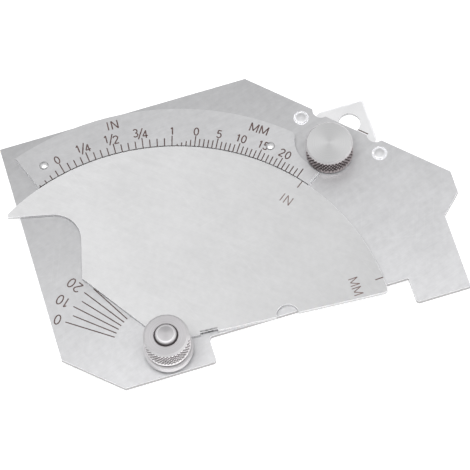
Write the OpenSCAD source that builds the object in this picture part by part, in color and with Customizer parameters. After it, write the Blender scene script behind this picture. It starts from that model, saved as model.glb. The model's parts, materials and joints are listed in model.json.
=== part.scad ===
// Bridge cam weld gauge in stainless steel, lying on its back.
// X runs along the feet, Y rises from the feet and Z comes out of the front face.
// The origin is on the foot faces, straight below the pivot, at the middle of the plate.

/* [Body plate] */
// Thickness of the body plate
plate_t = 1.2; // [0.8:0.1:2]
// Pivot axis above the foot faces
pivot_h = 5.8; // [5.8:0.1:8]
// Pivot axis to the straight left edge
body_left = 24.1; // [22:0.1:27]
// Pivot axis to the outer end of the left foot
heel_reach = 12; // [8:0.1:16]
// Height of the slanted heel beside the left foot
heel_rise = 11.3; // [6:0.1:16]
// Pivot axis to the inner end of the left foot
left_foot_in = 9.7; // [8:0.1:14]
// Width of the right foot
right_foot_w = 13; // [8:0.1:16]
// Height of the bridge edge above the foot faces
bridge_h = 6.4; // [5:0.1:8]
// Rounding of the feet's corners and of the bridge's left end
bridge_r = 0.8; // [0.4:0.1:1.5]
// Rounding of the bridge's right end
bridge_end_r = 0.2; // [0.1:0.1:1]
// How far the nose stands beyond the cam's arc
nose_margin = 23.3; // [20:0.1:27]
// How far the nose stands beyond the right foot
nose_step = 4.8; // [3:0.1:7]
// Height of the nose's lower corner above the foot faces
nose_low = 23.9; // [18:0.1:26]
// How far the top edge stands over the scale plate
top_margin = 0.35; // [0:0.05:1]

/* [Cam plate] */
// Radius of the cam's arc
cam_r = 52; // [48:0.5:58]
// Thickness of the cam plate
cam_t = 1.1; // [0.8:0.1:1.6]
// Direction of the beak tip in the stored position
cam_rest_angle = 121.4; // [100:0.1:150]
// Angle from the beak tip round to the lower edge
cam_span_angle = 125.3; // [110:0.1:140]
// How far the lower edge stands off the pivot axis
cam_edge_off = 1.8; // [0.5:0.1:3]
// How far the pointer edge stands off the pivot axis
pointer_off = 1.05; // [0:0.05:1.5]
// Rounding of the corner between the arc and the lower edge
cam_corner_r = 0.8; // [0.3:0.1:2]
// Width of the notch under the beak, along the pointer edge
beak_gap = 24.1; // [18:0.1:28]
// How far the tip of the blunt beak lies inside the arc
tip_in = 0.65; // [0.3:0.05:1]
// Rounding in the bottom of that notch
beak_r = 6.8; // [2:0.1:9]
// Diameter of the round hub under the lock nut
hub_d = 10.6; // [9:0.1:11.4]
// Pivot to the finger notch in the lower edge
finger_x = 28.3; // [20:0.1:40]
// Radius of the finger notch
finger_r = 2.6; // [1:0.1:4]
// Pivot to the relief in the lower edge beside the hub
hub_relief_x = 7.8; // [7:0.1:10]
// Length of that relief
hub_relief_len = 4.2; // [2:0.1:6]
// Depth of that relief
hub_relief_d = 0.45; // [0.2:0.05:0.8]

/* [Scale plate] */
// Thickness of the scale plate
strip_t = 1.1; // [0.8:0.1:1.6]
// Radial width of the scale plate
strip_w = 9.75; // [8:0.05:12]
// Running gap between the cam and the scale plate
strip_gap = 0.25; // [0.15:0.05:0.5]
// Direction of the left end of the scale plate
strip_left_angle = 109.9; // [106:0.1:112]
// Direction of the right end of the scale plate
strip_right_angle = 35.3; // [34:0.1:38]
// Radius of the relief beside the lock screw
relief_r = 7.3; // [6:0.1:8]
// Shift of that relief from the lock screw, towards the top edge
relief_shift = 3.2; // [2:0.1:4]
// Rounding of the outer corner above the relief
strip_corner_r = 1.6; // [0.5:0.1:2.5]

/* [Graduations] */
// Angle from the beak tip round to the inch mark on the cam
inch_mark_angle = 84.3; // [80:0.1:90]
// Angle from the beak tip round to the millimetre mark on the cam
mm_mark_angle = 119.1; // [114:0.1:122]
// Largest millimetre reading
mm_top = 25; // [20:5:25]
// Largest inch reading
inch_top = 1; // [0.5:0.25:1]
// Sixteenths in one inch
inch_parts = 16; // [8:8:16]
// Shortening lines below each zero
lead_marks = 4; // [0:1:5]
// Millimetres from one numbered line to the next
mm_step = 5; // [5:5:10]
// Length of the numbered lines
long_mark = 2.6; // [2:0.1:3]
// Length of the plain lines
short_mark = 1.95; // [1:0.05:2]
// Width of an engraved line
mark_w = 0.26; // [0.1:0.02:0.4]
// Depth of an engraved line
mark_d = 0.1; // [0.05:0.01:0.2]
// Direction of the zero line of the angle fan
fan_zero_angle = 143.8; // [140:0.1:150]
// How far the fan's centre lies left of the pivot
fan_off = 1.1; // [0:0.1:2]
// Largest angle on the fan
fan_top_angle = 60; // [30:5:60]
// Step between the lines of the fan
fan_step_angle = 5; // [5:5:10]
// Degrees from one numbered fan line to the next
fan_numbered_angle = 10; // [10:10:20]
// Distance from that centre to the inner ends of the fan
fan_in = 12.2; // [11:0.1:16]
// Length of the numbered fan lines
fan_long = 12.2; // [8:0.1:13]
// Length of the plain fan lines
fan_short = 11.2; // [7:0.1:12]

/* [Pivot and lock nut] */
// Diameter of the pivot stud
stud_d = 5; // [4:0.1:5.4]
// How far the stud stands out of the nut
stud_proud = 0.9; // [0.3:0.1:1.5]
// Chamfer on the end of the stud
stud_chamfer = 0.6; // [0.2:0.1:1]
// Diameter of the stud's head on the back
stud_head_d = 9; // [7:0.1:11]
// Height of the stud's head
stud_head_h = 0.9; // [0.5:0.1:1.2]
// Diameter of the washer on the cam
washer_d = 11.4; // [10.6:0.1:11.4]
// Thickness of the washer
washer_t = 1.5; // [0.6:0.1:2]
// Diameter of the lock nut over its knurl
nut_d = 10.5; // [9.5:0.1:11]
// Height of the lock nut
nut_h = 6.5; // [4.5:0.1:7]
// Height of the plain neck under the knurl
neck_h = 0.6; // [0.3:0.1:1]
// How far the neck lies inside the knurl
neck_in = 0.6; // [0.3:0.1:1]
// Width of the slope round the nut's top face
nut_slope_w = 0.5; // [0.4:0.1:1.2]
// Height of that slope
nut_slope_h = 0.4; // [0.3:0.1:1]

/* [Throat slide] */
// Width of the slide
slide_w = 15.6; // [14:0.1:17]
// Thickness of the slide
slide_t = 1; // [0.8:0.1:1.4]
// Length of the slide behind its slot
slide_tail = 5.8; // [4:0.1:8]
// Throat reading in the stored position
slide_rest = 19.1; // [10:0.1:20]
// Largest throat reading
throat_top = 20; // [20:0.5:21]
// Point of the slide to the middle of its hole
slide_hole_in = 7.1; // [6.8:0.1:8]
// Diameter of the hole in the slide
slide_hole_d = 5.25; // [4:0.05:6]
// Width of the bevels along the slide's point
point_bevel = 0.45; // [0.2:0.05:0.6]
// Slope of those bevels
point_slope_angle = 30; // [15:5:45]
// Gap between the slide's slot and its throat scale
throat_mark_gap = 0.6; // [0.5:0.1:1.5]
// Corner of the nose and top edge to the slanted edge
throat_cut = 27.35; // [26:0.05:28]
// How far the notches at the slide's edges reach in over it
edge_notch_over = 0.55; // [0.2:0.05:0.8]
// Radius of those notches
edge_notch_r = 2; // [1.5:0.1:2.4]
// Depth of those notches
edge_notch_in = 1.3; // [0.8:0.1:1.6]
// How far the edge between the notches is set back
tab_set_back = 0.35; // [0.2:0.05:0.6]

/* [Guide and lock screw] */
// Thickness of the guide bracket's sheet
guide_t = 0.9; // [0.6:0.1:1.2]
// Length of the guide bracket past the lock screw
guide_past = 4.9; // [4:0.1:6]
// Width of each riveted flange of the guide bracket
flange_w = 3.9; // [3.8:0.1:6]
// Slanted edge to the near end of the guide bracket
guide_in = 1; // [0.5:0.1:1.5]
// Slanted edge to the middle of the lock screw
lock_in = 8.6; // [8:0.05:9]
// Diameter of the lock screw's knob over its knurl
knob_d = 11.1; // [10:0.1:12]
// Height of the knob above the body plate
knob_h = 5.6; // [4:0.1:7]
// Height of the seat under the knob
seat_h = 0.3; // [0.2:0.1:1]
// Diameter of the seat under the knob
seat_d = 7.6; // [6:0.1:8.4]
// Diameter of the lock screw's shank
shank_d = 3.9; // [3:0.1:4.2]

/* [Rivets] */
// Shank diameter of the guide rivets
guide_rivet_d = 2; // [1.6:0.1:2.2]
// Diameter of the guide rivets' front domes
guide_dome_d = 2.8; // [2.6:0.1:3.2]
// Diameter of the countersink round each front dome
sink_d = 3.5; // [3.3:0.1:4]
// Depth of that countersink
sink_deep = 0.35; // [0.2:0.05:0.5]
// Diameter of the guide rivets' back heads
guide_head_d = 2.9; // [2.6:0.1:3]
// Slanted edge to the middle of the guide rivets
guide_rivet_in = 3.3; // [3:0.1:3.8]
// Shank diameter of the scale rivets
scale_rivet_d = 1.4; // [1:0.1:1.6]
// Diameter of the scale rivets' domes
scale_dome_d = 2.1; // [1.8:0.1:2.6]
// Inner arc of the scale plate to the middle of its rivets
scale_rivet_in = 4.2; // [3.6:0.1:6]
// Direction of the left scale rivet
scale_rivet_left_angle = 105.6; // [104:0.1:107]
// Direction of the right scale rivet
scale_rivet_right_angle = 49; // [48:0.1:52]
// Height of a rivet's dome
dome_h = 0.45; // [0.3:0.05:0.6]

/* [Fits] */
// Gap between plates that slide on each other
face_gap = 0.05; // [0.02:0.01:0.1]
// Radial clearance of a turning fit
turn_fit = 0.06; // [0.02:0.01:0.1]
// Radial clearance of a riveted or pressed fit
press_fit = 0.02; // [0.01:0.01:0.05]
// Clearance beside the slide and its slot
slide_fit = 0.2; // [0.1:0.05:0.3]
// Clearance between the knob and the scale plate
knob_clear = 0.4; // [0.3:0.05:0.6]
// Pitch of the knurls round the knob and nut
knurl_pitch = 0.82; // [0.6:0.02:1.2]
// Depth of the knurls
knurl_d = 0.28; // [0.15:0.01:0.4]
// How far the chamfers at their ends run in past that depth
knurl_end = 0.12; // [0.06:0.02:0.24]

/* [Hidden] */
$fn = 64;
cut = 1;                                             // overshoot of a cutting shape

// Levels from the back to the front
body_back = -plate_t / 2;
body_front = plate_t / 2;
slide_top = body_back - face_gap;
slide_back = slide_top - slide_t;
roof_top = slide_back - face_gap;
roof_back = roof_top - guide_t;
flange_back = body_back - guide_t;
strip_top = body_front + strip_t;
cam_back = body_front + face_gap;
cam_top = cam_back + cam_t;
washer_back = cam_top + face_gap;
nut_back = washer_back + washer_t + face_gap;
nut_top = nut_back + nut_h;
knob_top = body_front + knob_h;

// Main outline
strip_in_r = cam_r + strip_gap;
strip_out_r = strip_in_r + strip_w;
body_h = pivot_h + strip_out_r + top_margin;
nose_x = cam_r + nose_margin;
right_foot_out = nose_x - nose_step;
right_foot_in = right_foot_out - right_foot_w;
slant_sum = nose_x + body_h - throat_cut * sqrt(2);  // x + y along the slanted edge

// Angles of the engraved lines
inch = 25.4;
mm_lines = [for (i = [-lead_marks : mm_top]) i];
inch_lines = [for (i = [-lead_marks : inch_top * inch_parts]) i];
quarter = inch_parts / 4;
reach = 2 * cam_r;                                   // past the edge of the cam in any direction
tip_r = cam_r - tip_in;

// Where the slide travels: distances are counted back from the corner of nose and top edge
lock_s = throat_cut + lock_in;
slot_w = shank_d + 2 * slide_fit;
slot_near = lock_s - throat_top;
slide_len = lock_s + slot_w / 2 + slide_tail;
guide_len = lock_in - guide_in + guide_past;
channel_w = slide_w + 2 * slide_fit;
guide_rivet_off = channel_w / 2 + guide_t + (flange_w - guide_t) / 2;
scale_rivet_r = strip_in_r + scale_rivet_in;
lock_x = nose_x - lock_s / sqrt(2);
lock_y = body_h - lock_s / sqrt(2);
relief_y = lock_y + relief_shift - pivot_h;

// Direction of the cam's mark when the beak tip stands at this height over the feet
function dial_angle(height, mark) = 180 - mark - asin((height - pivot_h) / tip_r);

// Lines below zero grow shorter, the numbered ones are long
function line_length(i, every) = i < 0 ? short_mark * (1 + i / (lead_marks + 1)) :
    i % every == 0 ? long_mark : short_mark;

module at_pivot(angle = 0) {
    translate([0, pivot_h, 0]) rotate([0, 0, angle]) children();
}

// Origin at the corner of nose and top edge, X inwards along the slide
module at_throat(s = 0, v = 0) {
    translate([nose_x, body_h, 0]) rotate([0, 0, 225]) translate([s, v, 0]) children();
}

module both_sides(v) {
    for (side = [-1, 1]) translate([0, side * v, 0]) children();
}

module at_scale_rivets() {
    for (a = [scale_rivet_left_angle, scale_rivet_right_angle])
        at_pivot(a) translate([scale_rivet_r, 0, 0]) children();
}

// Engraved line on a face at height z, running outwards from radius r
module radial_line(r, len, z) {
    translate([r, -mark_w / 2, z - mark_d]) cube([len, mark_w, mark_d + cut]);
}

// Fill for a square corner that leaves a round of radius r in it
module corner_fill(r) {
    difference() {
        square(r);
        translate([r, r]) circle(r);
    }
}

// Waste outside a round of radius r about mid, between the two ways to its tangent points
module round_waste(mid, r, way_a, way_b) {
    difference() {
        polygon([mid, mid + 2 * r * way_a, mid + 2 * r * (way_a + way_b), mid + 2 * r * way_b]);
        translate(mid) circle(r);
    }
}

// Low round rivet head of diameter d standing on z = 0
module dome(d, h) {
    ball = (d * d / 4 + h * h) / (2 * h);
    intersection() {
        translate([0, 0, h - ball]) sphere(ball, $fn = 96);
        cylinder(d = d + cut, h = h + cut);
    }
}

// Toothed ring outline of a knurl
module knurl_outline(d) {
    teeth = round(PI * d / knurl_pitch);
    polygon([for (i = [0 : 2 * teeth - 1])
        let (r = d / 2 - (i % 2) * knurl_d, a = 180 * i / teeth) [r * cos(a), r * sin(a)]]);
}

// Knurled drum of height h, chamfered below and sloping above
module knurled_drum(d, h, slope_w, slope_h) {
    low = knurl_d + knurl_end;
    out = d / 2 + knurl_d;                               // clear of the teeth between the two ends
    intersection() {
        linear_extrude(h) knurl_outline(d);
        rotate_extrude() polygon([[0, 0], [d / 2 - low, 0], [out, low + knurl_d],
                                  [out, h - slope_h * (slope_w + knurl_d) / slope_w],
                                  [d / 2 - slope_w, h], [0, h]]);
    }
}

module body_outline() {
    difference() {
        polygon([[-heel_reach, 0], [right_foot_out, 0], [right_foot_out, nose_low - nose_step],
                 [nose_x, nose_low], [nose_x, slant_sum - nose_x], [slant_sum - body_h, body_h],
                 [-body_left, body_h], [-body_left, heel_rise]]);
        difference() {
            translate([left_foot_in, -cut]) square([right_foot_in - left_foot_in, bridge_h + cut]);
            translate([left_foot_in, bridge_h]) mirror([0, 1]) corner_fill(bridge_r);
            translate([right_foot_in, bridge_h]) rotate(180) corner_fill(bridge_end_r);
        }
        translate([left_foot_in, 0]) mirror([1, 0]) corner_fill(bridge_r);
        translate([right_foot_in, 0]) corner_fill(bridge_r);
    }
}

module body_plate() {
    color("silver") difference() {
        translate([0, 0, body_back]) linear_extrude(plate_t) body_outline();
        at_pivot() translate([0, 0, body_back - cut])
            cylinder(d = stud_d + 2 * press_fit, h = plate_t + 2 * cut);
        at_scale_rivets() translate([0, 0, body_back - cut])
            cylinder(d = scale_rivet_d + 2 * press_fit, h = plate_t + 2 * cut);
        at_throat(lock_s) translate([0, 0, body_back - cut])
            cylinder(d = shank_d + 2 * turn_fit, h = plate_t + 2 * cut);
        at_throat(throat_cut + guide_rivet_in) both_sides(guide_rivet_off) {
            translate([0, 0, body_back - cut])
                cylinder(d = guide_rivet_d + 2 * press_fit, h = plate_t + 2 * cut);
            translate([0, 0, body_front - sink_deep]) cylinder(d = sink_d, h = sink_deep + cut);
        }
        at_throat(throat_cut + edge_notch_in - edge_notch_r) both_sides(slide_w / 2 - edge_notch_over)
            translate([0, 0, body_back - cut]) cylinder(r = edge_notch_r, h = plate_t + 2 * cut);
        at_throat(throat_cut - cut, -slide_w / 2) translate([0, 0, body_back - cut])
            cube([tab_set_back + cut, slide_w, plate_t + 2 * cut]);
        for (a = [0 : fan_step_angle : fan_top_angle])
            translate([-fan_off, 0, 0]) at_pivot(fan_zero_angle - a)
                radial_line(fan_in, a % fan_numbered_angle == 0 ? fan_long : fan_short, body_front);
    }
}

module strip_outline() {
    wide = strip_left_angle - strip_right_angle;
    difference() {
        intersection() {
            circle(strip_out_r);
            rotate(strip_right_angle) polygon([[0, 0], [reach, 0], reach * [cos(wide / 2), sin(wide / 2)],
                                         reach * [cos(wide), sin(wide)]]);
        }
        circle(strip_in_r);
    }
}

// Waste outside the round that joins the scale plate's outer arc to its relief
module strip_corner_waste() {
    relief_far = norm([lock_x, relief_y]);
    round_far = strip_out_r - strip_corner_r;
    round_off = relief_r + strip_corner_r;
    turn = acos((round_far ^ 2 + relief_far ^ 2 - round_off ^ 2) / (2 * round_far * relief_far));
    a = atan2(relief_y, lock_x) + turn;
    mid = round_far * [cos(a), sin(a)];
    round_waste(mid, strip_corner_r, [cos(a), sin(a)], ([lock_x, relief_y] - mid) / round_off);
}

module scale_plate() {
    color("gainsboro") difference() {
        translate([0, 0, body_front]) linear_extrude(strip_t) translate([0, pivot_h]) difference() {
            strip_outline();
            translate([lock_x, relief_y]) circle(relief_r);
            strip_corner_waste();
        }
        translate([lock_x, lock_y, body_front - cut])
            cylinder(d = knob_d + 2 * knob_clear, h = strip_t + 2 * cut);
        at_scale_rivets() translate([0, 0, body_front - cut])
            cylinder(d = scale_rivet_d + 2 * press_fit, h = strip_t + 2 * cut);
        for (i = mm_lines) at_pivot(dial_angle(i, mm_mark_angle))
            radial_line(strip_in_r - cut, line_length(i, mm_step) + cut, strip_top);
        for (i = inch_lines) at_pivot(dial_angle(i * inch / inch_parts, inch_mark_angle))
            radial_line(strip_in_r - cut, line_length(i, quarter) + cut, strip_top);
    }
}

// Peened flush on the back, domed on the scale
module scale_rivets() {
    color("whitesmoke") at_scale_rivets() {
        translate([0, 0, body_back]) cylinder(d = scale_rivet_d, h = strip_top - body_back);
        translate([0, 0, strip_top]) dome(scale_dome_d, dome_h);
    }
}

// Drawn with the beak tip on the X axis and the plate lying clockwise from it
module cam_outline() {
    edge_dir = [cos(cam_span_angle), -sin(cam_span_angle)];
    edge_start = cam_edge_off * [-edge_dir[1], edge_dir[0]];
    beak_in_r = tip_r - beak_gap;
    difference() {
        union() {
            intersection() {
                circle(cam_r);
                polygon([[0, -pointer_off], edge_start, edge_start + reach * edge_dir,
                         reach * [cos(cam_span_angle / 2), -sin(cam_span_angle / 2)], [reach, reach / 4],
                         [beak_in_r + cut, 0]]);
            }
            circle(d = hub_d);
        }
        translate([beak_in_r + beak_gap / 2, -beak_gap / 2]) rotate(45) difference() {
            square(reach);
            corner_fill(beak_r);
        }
        translate([tip_r, 0]) rotate(-45) square(reach);
        translate(edge_start) rotate(-cam_span_angle) {
            translate([finger_x, 0]) circle(finger_r);
            translate([hub_relief_x, -cut]) square([hub_relief_len, hub_relief_d + cut]);
            cam_corner_waste();
        }
    }
}

// Waste outside the round that joins the cam's arc to its lower edge, drawn along that edge
module cam_corner_waste() {
    round_far = cam_r - cam_corner_r;
    mid = [sqrt(round_far ^ 2 - (cam_edge_off + cam_corner_r) ^ 2), cam_corner_r];
    round_waste(mid, cam_corner_r, (mid + [0, cam_edge_off]) / round_far, [0, -1]);
}

module cam_plate() {
    color("whitesmoke") at_pivot(cam_rest_angle) difference() {
        translate([0, 0, cam_back]) linear_extrude(cam_t) cam_outline();
        translate([0, 0, cam_back - cut]) cylinder(d = stud_d + 2 * turn_fit, h = cam_t + 2 * cut);
        for (mark = [inch_mark_angle, mm_mark_angle]) rotate([0, 0, -mark])
            radial_line(cam_r - short_mark, short_mark + cut, cam_top);
    }
}

module pivot_stud() {
    top = nut_top + stud_proud;
    color("lightgray") at_pivot() rotate_extrude() polygon([
        [0, body_back - stud_head_h], [stud_head_d / 2 - stud_head_h / 2, body_back - stud_head_h],
        [stud_head_d / 2, body_back - stud_head_h / 2], [stud_head_d / 2, body_back],
        [stud_d / 2, body_back], [stud_d / 2, top - stud_chamfer], [stud_d / 2 - stud_chamfer, top],
        [0, top]]);
}

module pivot_washer() {
    color("whitesmoke") at_pivot() translate([0, 0, washer_back]) difference() {
        cylinder(d = washer_d, h = washer_t);
        translate([0, 0, -cut]) cylinder(d = stud_d + 2 * turn_fit, h = washer_t + 2 * cut);
    }
}

module cam_lock_nut() {
    color("lightgray") at_pivot() translate([0, 0, nut_back]) difference() {
        union() {
            cylinder(d = nut_d - 2 * neck_in, h = neck_h);
            translate([0, 0, neck_h])
                knurled_drum(nut_d, nut_h - neck_h, nut_slope_w, nut_slope_h);
        }
        translate([0, 0, -cut]) cylinder(d = stud_d + 2 * turn_fit, h = nut_h + 2 * cut);
    }
}

module throat_slide() {
    color("gainsboro") at_throat(slide_rest) translate([0, 0, slide_back]) difference() {
        linear_extrude(slide_t) polygon([[0, 0], [slide_w / 2, -slide_w / 2], [slide_len, -slide_w / 2],
                                         [slide_len, slide_w / 2], [slide_w / 2, slide_w / 2]]);
        translate([slide_hole_in, 0, -cut]) cylinder(d = slide_hole_d, h = slide_t + 2 * cut);
        translate([slot_near, -slot_w / 2, -cut]) cube([throat_top, slot_w, slide_t + 2 * cut]);
        for (x = [0, throat_top]) translate([slot_near + x, 0, -cut])
            cylinder(d = slot_w, h = slide_t + 2 * cut);
        for (side = [0, 1]) mirror([0, side, 0]) rotate([0, 0, 45])
            translate([-cut, -point_bevel, slide_t]) rotate([-point_slope_angle, 0, 0])
                cube([slide_w, slide_w / 4, slide_t]);
        for (i = [0 : throat_top]) translate([throat_cut + tab_set_back - i, 0, slide_t])
            rotate([0, 0, 90]) radial_line(slot_w / 2 + throat_mark_gap, line_length(i, mm_step), 0);
    }
}

// Sheet bracket that keeps the slide against the back of the body
module guide_bracket() {
    inner = channel_w / 2;
    outer = inner + guide_t;
    far = inner + flange_w;
    bend = guide_t / 3;
    color("gainsboro") difference() {
        at_throat(throat_cut + guide_in) rotate([90, 0, 90]) linear_extrude(guide_len) polygon([
            [-far, body_back], [-inner, body_back], [-inner, roof_top], [inner, roof_top],
            [inner, body_back], [far, body_back], [far, flange_back], [outer, flange_back],
            [outer, roof_back + bend], [outer - bend, roof_back], [bend - outer, roof_back],
            [-outer, roof_back + bend], [-outer, flange_back], [-far, flange_back]]);
        at_throat(lock_s) translate([0, 0, roof_back - cut])
            cylinder(d = shank_d + 2 * turn_fit, h = guide_t + 2 * cut);
        at_throat(throat_cut + guide_rivet_in) both_sides(guide_rivet_off)
            translate([0, 0, flange_back - cut])
                cylinder(d = guide_rivet_d + 2 * press_fit, h = guide_t + 2 * cut);
    }
}

// Domed in a countersink on the front, low heads on the back
module guide_rivets() {
    sink = body_front - sink_deep;
    color("whitesmoke") at_throat(throat_cut + guide_rivet_in) both_sides(guide_rivet_off) {
        translate([0, 0, flange_back]) cylinder(d = guide_rivet_d, h = sink - flange_back);
        translate([0, 0, sink]) cylinder(d = guide_dome_d, h = sink_deep);
        translate([0, 0, body_front]) dome(guide_dome_d, dome_h);
        translate([0, 0, flange_back]) mirror([0, 0, 1]) dome(guide_head_d, dome_h);
    }
}

// Knob, seat and shank turned from one bar
module slide_lock_screw() {
    seat = body_front + face_gap;
    chamfer = knurl_d + knurl_end;
    color("lightgray") at_throat(lock_s) {
        translate([0, 0, roof_back]) cylinder(d = shank_d, h = seat - roof_back);
        translate([0, 0, seat]) cylinder(d = seat_d, h = seat_h);
        translate([0, 0, seat + seat_h])
            knurled_drum(knob_d, knob_top - seat - seat_h, chamfer, chamfer);
    }
}

body_plate();
scale_plate();
scale_rivets();
cam_plate();
pivot_stud();
pivot_washer();
cam_lock_nut();
throat_slide();
guide_bracket();
guide_rivets();
slide_lock_screw();
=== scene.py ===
"""Finish of a bridge cam weld gauge in brushed stainless steel, lying on its back on a pale table."""
import json
import math

import bmesh
import bpy
from mathutils import Matrix, Vector


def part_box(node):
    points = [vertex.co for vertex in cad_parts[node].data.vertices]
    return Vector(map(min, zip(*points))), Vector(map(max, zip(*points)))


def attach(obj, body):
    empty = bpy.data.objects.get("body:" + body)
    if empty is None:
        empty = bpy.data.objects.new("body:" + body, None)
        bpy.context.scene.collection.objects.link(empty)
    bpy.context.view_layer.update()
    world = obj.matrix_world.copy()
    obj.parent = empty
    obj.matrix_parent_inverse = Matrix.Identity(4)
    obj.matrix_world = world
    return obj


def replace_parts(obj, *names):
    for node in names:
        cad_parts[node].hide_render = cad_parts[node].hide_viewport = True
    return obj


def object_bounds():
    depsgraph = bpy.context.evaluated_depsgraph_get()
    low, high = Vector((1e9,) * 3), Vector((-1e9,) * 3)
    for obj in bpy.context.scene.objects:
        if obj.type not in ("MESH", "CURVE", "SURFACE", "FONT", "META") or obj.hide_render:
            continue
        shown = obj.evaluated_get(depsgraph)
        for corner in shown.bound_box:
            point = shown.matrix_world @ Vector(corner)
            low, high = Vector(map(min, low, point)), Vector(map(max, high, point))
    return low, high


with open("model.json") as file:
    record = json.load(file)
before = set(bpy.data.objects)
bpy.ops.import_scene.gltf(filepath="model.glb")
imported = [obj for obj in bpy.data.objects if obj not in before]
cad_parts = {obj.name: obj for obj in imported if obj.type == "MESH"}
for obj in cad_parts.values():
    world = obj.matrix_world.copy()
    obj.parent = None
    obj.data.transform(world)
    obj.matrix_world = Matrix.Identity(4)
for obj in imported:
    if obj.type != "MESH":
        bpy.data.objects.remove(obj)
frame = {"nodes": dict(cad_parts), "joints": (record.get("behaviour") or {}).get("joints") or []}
cad_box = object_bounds()
scene = bpy.context.scene
scene.view_settings.view_transform = "Standard"

# Sizes in metres, places in the gauge's own frame, angles in degrees
MM = 0.001
INCH = 25.4 * MM
TINY = 0.004 * MM
MERGE_NEAR = TINY / 4


def joint_place(name):
    return Vector(next(j["pos_m"] for j in frame["joints"] if j["name"] == name))


PIVOT = joint_place("cam_swing")
LOCK = joint_place("lock_turn")
MIDDLE = (cad_box[0] + cad_box[1]) / 2
BODY_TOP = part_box("body_plate")[1].z
SCALE_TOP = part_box("scale_plate")[1].z
CAM_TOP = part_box("cam_plate")[1].z

# The dial reads the height of the beak tip, at this radius, over the feet
TIP_R = 51.35 * MM
MM_MARK = 119.1
INCH_MARK = 84.3
CAM_REST = 121.4
DIAL_MM = range(0, 25, 5)
DIAL_QUARTERS = ("0", "1/4", "1/2", "3/4", "1")

# The fan reads degrees about a centre beside the pivot
FAN_ZERO = 143.8
FAN_SHIFT = 1.1 * MM
FAN_CENTRE = PIVOT - Vector((FAN_SHIFT, 0, 0))
FAN_DEGREES = range(0, 70, 10)

# Places painted dark as shade, hatched like a cutter's lines: beside the hub's relief, and in the slide's
# hole
HUB_RELIEF = Vector((10.05, 7.2, 0)) * MM
HUB_RELIEF_REACH = 2.6 * MM
HUB_RELIEF_TOP = Vector((10.03, 7.37, 0)) * MM
HUB_RELIEF_TURN = -3.9
SHADE_STRIP_HALF = 2.1 * MM
SHADE_STRIP_W = 0.5 * MM
SHADE_STRIP_FADE = 0.06 * MM
SHADE_STRIP_TONES = (0.32, 0.62)
SLIDE_HOLE_IN = 7.1 * MM
SLIDE_HOLE_REACH = 4 * MM
SLIDE_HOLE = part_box("throat_slide")[1] - Vector((1, 1, 0)) * SLIDE_HOLE_IN / math.sqrt(2)

# Plates and rivet domes
GROOVE_D = 0.1 * MM
SINK_D = 0.35 * MM
EDGE_BREAK = 0.07 * MM
WIDE_BREAK = 0.3 * MM
SHARP_RIM = 50
SAME_PLANE = 0.4
SMOOTH_LIMIT = 18
SCALE_END = 35.3
SCALE_END_NEAR = 0.05
PAINTED_RING_H = 0.16 * MM
GUIDE_RING_UP = 0.1 * MM

# Share of a face's normal that is along Z, from which the face counts as level or as sloped
LEVEL = 0.9
SLOPED = 0.5

# Figures cut by a single-line engraver
STROKE_W = 0.3 * MM
CAM_STROKE_W = 0.23 * MM
STROKE_PROUD = 0.012 * MM
STROKE_CORNER = 50
FIGURE_H = 1.9 * MM
FRACTION_H = 2 * MM
UNIT_H = 2.2 * MM
FAN_FIGURE_H = 2.35 * MM
FIGURE_R = 56.05 * MM
UNIT_R = 59.7 * MM
INCH_UNIT = 87.1
MM_UNIT = 53.1
FRACTION_TURN = 0.25
CAM_INCH_R = 46.1 * MM
CAM_INCH_TURN = 0.5
CAM_MM_R = 45.3 * MM
FAN_FIGURE_R = 25.35 * MM

# Knurled and turned pieces
KNURL_PITCH = 0.82 * MM
KNURL_RISE = 1.3 * MM
KNURL_D = 0.32 * MM
KNURL_END = 0.4 * MM
BORE_R = 2.56 * MM
BORE_BREAK = 0.3 * MM
NECK_H = 0.6 * MM
NECK_IN = 0.6 * MM
NUT_SLOPE_W = 0.5 * MM
NUT_SLOPE_H = 0.4 * MM
SEAT_GAP = 0.05 * MM
SEAT_H = 0.3 * MM
SEAT_R = 3.8 * MM
SHANK_R = 1.95 * MM
STUD_R = 2.5 * MM
STUD_ROUND = 0.65 * MM
STUD_HEAD_H = 0.9 * MM
STUD_HEAD_R = 4.5 * MM
ROUND_STEPS = 6
TURN_STEPS = 96

# Patterns of the finishes in noise cells per metre: one number, or three along X, Y and Z
BELT_SCRATCHES = (220, 5200, 220)
BELT_BANDS = (90, 900, 90)
BELT_MOTTLE = 800
FINGER_FILM = 75
LATHE_RINGS = 4200
KNURL_PATCHES = 900
SHEAR_LINES = (4200, 4200, 250)
SHADE_HATCH_CELLS = (1800, 1800, 300)
POLISH_CLOUD = 420
ETCH_PATCHES = 1500
PAPER_PATCHES = 6

# Hairline scratches, each set with its turn in radians and its noise cells
HAIRLINES = ((0.5, (45, 2600, 45)), (-0.9, (60, 3100, 60)))

# Noise values between which a pattern sets in
NOISE_MEAN = 0.5
HAIRLINE_CUT = (0.74, 0.78)
FILM_CUT = (0.42, 0.68)
WEAR_CUT = (0.42, 1.0)
SHEAR_CUT = (0.3, 0.7)
SHEAR_ROUGH_CUT = (0.2, 0.8)
HATCH_CUT = (0.4, 0.6)
CLOUD_CUT = (0.35, 0.7)
ETCH_CUT = (0.4, 0.75)
PAPER_CUT = (0.3, 0.7)

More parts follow.
